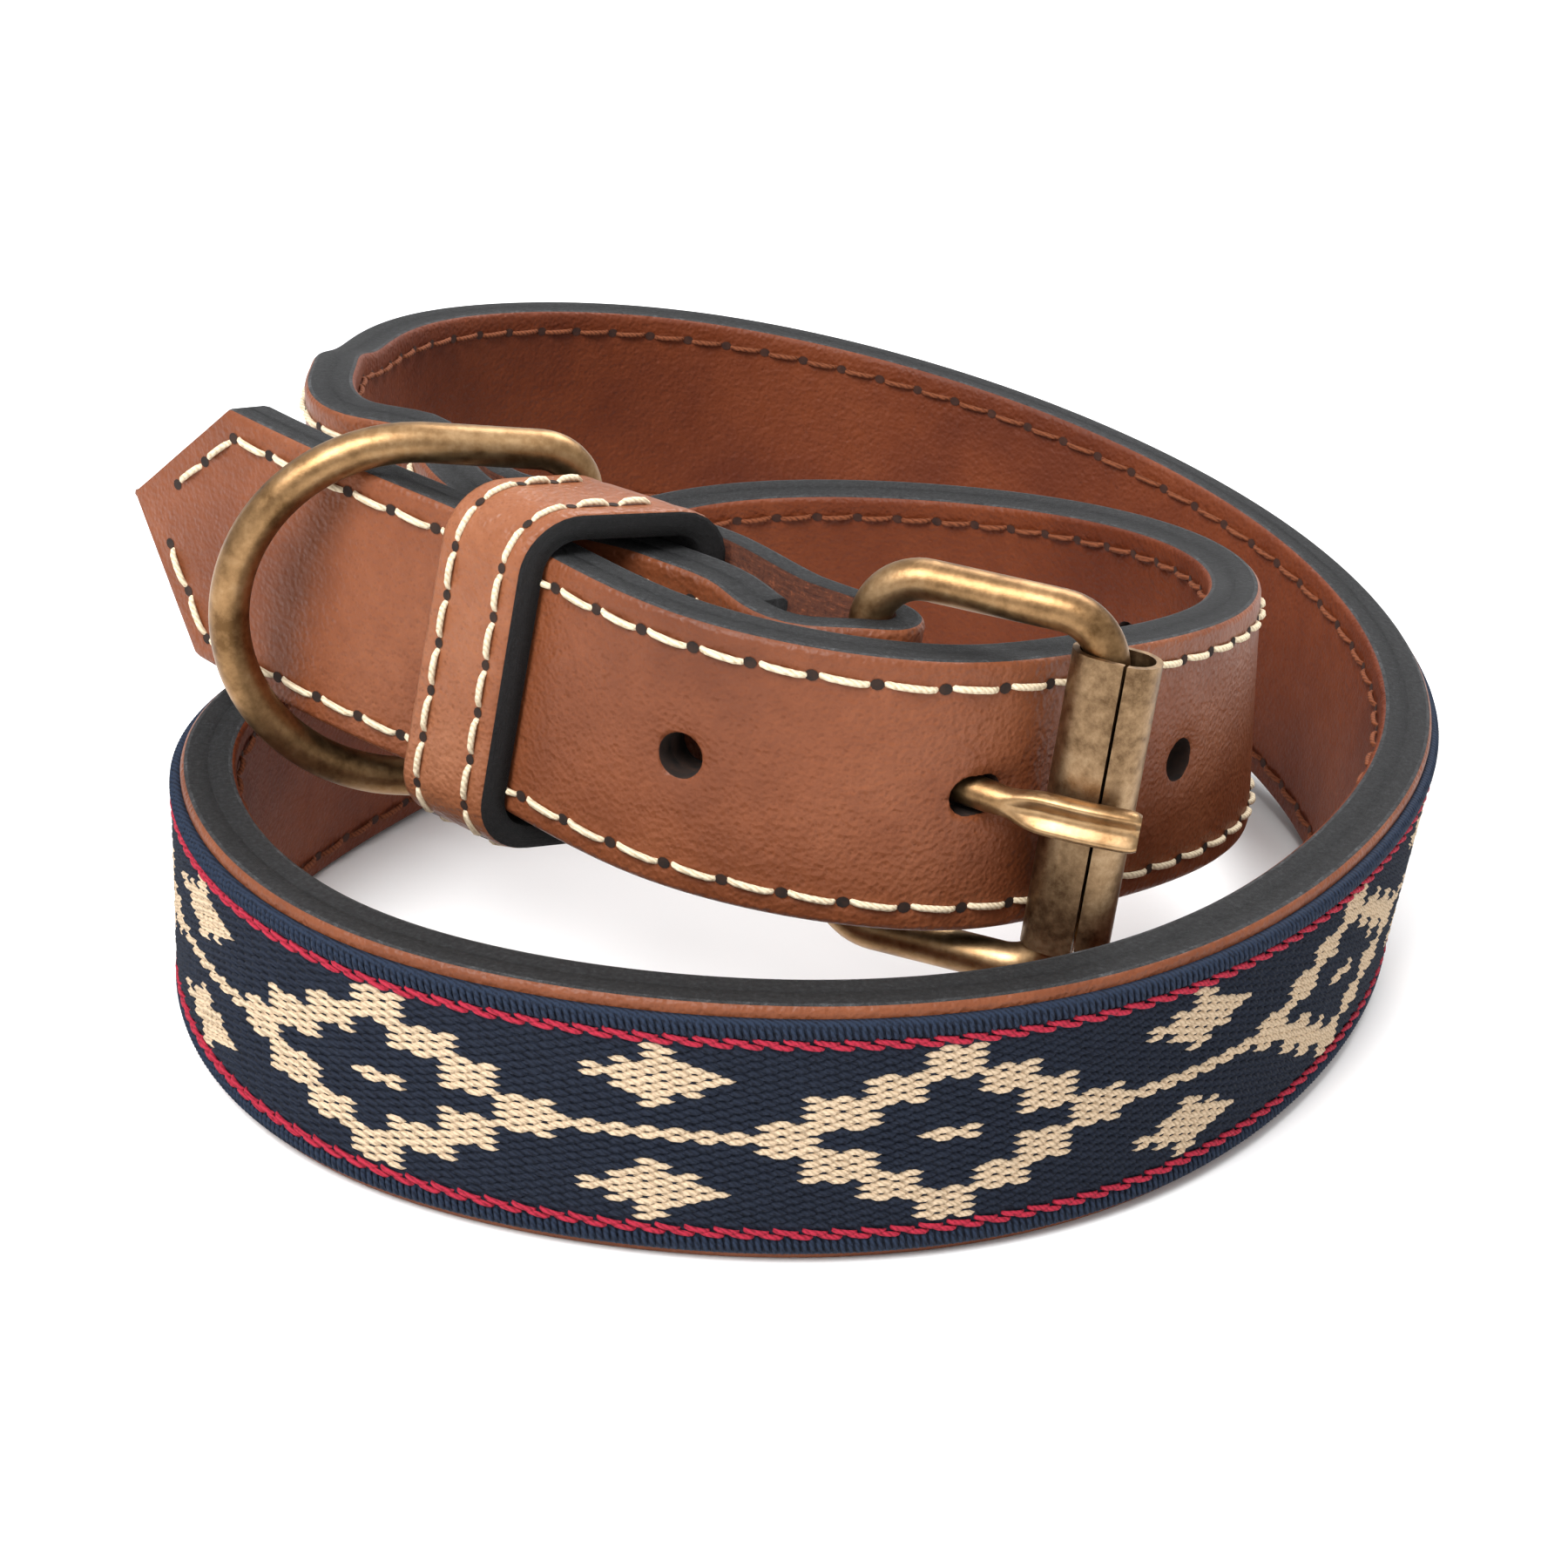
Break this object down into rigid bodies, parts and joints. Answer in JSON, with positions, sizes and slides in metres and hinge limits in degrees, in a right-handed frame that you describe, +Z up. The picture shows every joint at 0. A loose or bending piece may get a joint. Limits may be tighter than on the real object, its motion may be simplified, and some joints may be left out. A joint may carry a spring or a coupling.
{
  "type": "roller buckle dog collar",
  "caption": "Two-ply leather collar with a woven band, roller buckle, keeper and D-ring, fastened and coiled into a double loop on its edge.",
  "frame": {"origin": "middle of the footprint, on the surface the collar stands on", "axes": "+Z up, +X to the right seen from the buckle side, +Y away from the buckle side"},
  "size_m": [0.1313, 0.1492, 0.0587],
  "materials": {
    "grain_leather": "satin grain leather, mid brown",
    "lining_leather": "smooth dark brown lining leather",
    "woven_ribbon": "dense navy, cream and red jacquard weave",
    "red_thread": "waxed thread",
    "cream_thread": "waxed thread",
    "brown_thread": "waxed thread",
    "keeper_leather": "satin grain leather with raw dark edges",
    "antique_brass": "antiqued, softly polished",
    "rolled_brass": "antiqued rolled sheet with a mottled patina"
  },
  "bodies": {
    "strap": {"outer_strap": "grain_leather", "lining_strap": "lining_leather", "woven_band": "woven_ribbon", "band_stitching": "red_thread", "billet_stitching": "cream_thread", "buckle_end_stitching": "cream_thread", "lining_stitching": "brown_thread", "fold_stitching": "brown_thread", "keeper_loop": "keeper_leather", "keeper_stitching": "cream_thread"},
    "buckle": {"buckle_frame": "antique_brass"},
    "roller": {"buckle_roller": "rolled_brass"},
    "prong": {"buckle_prong": "antique_brass"},
    "ring": {"d_ring": "antique_brass"}
  },
  "joints": [
    {"name": "frame_hinge", "type": "hinge", "parent": "strap", "child": "buckle", "pos_m": [0.00421, -0.04708, 0.03667], "axis": [-0.0845, -0.0646, -0.9943], "range_deg": [0, 3]},
    {"name": "prong_hinge", "type": "hinge", "parent": "buckle", "child": "prong", "pos_m": [0.00421, -0.04708, 0.03667], "axis": [-0.0845, -0.0646, -0.9943], "range_deg": [0, 3]},
    {"name": "roller_turn", "type": "hinge", "parent": "buckle", "child": "roller", "pos_m": [0.02464, -0.05292, 0.03532], "axis": [-0.0845, -0.0646, -0.9943], "range_deg": [-4, 4]},
    {"name": "d_ring_hinge", "type": "hinge", "parent": "strap", "child": "ring", "pos_m": [-0.02239, -0.02711, 0.0388], "axis": [0.0901, 0, 0.9959], "range_deg": [0, 30]}
  ]
}
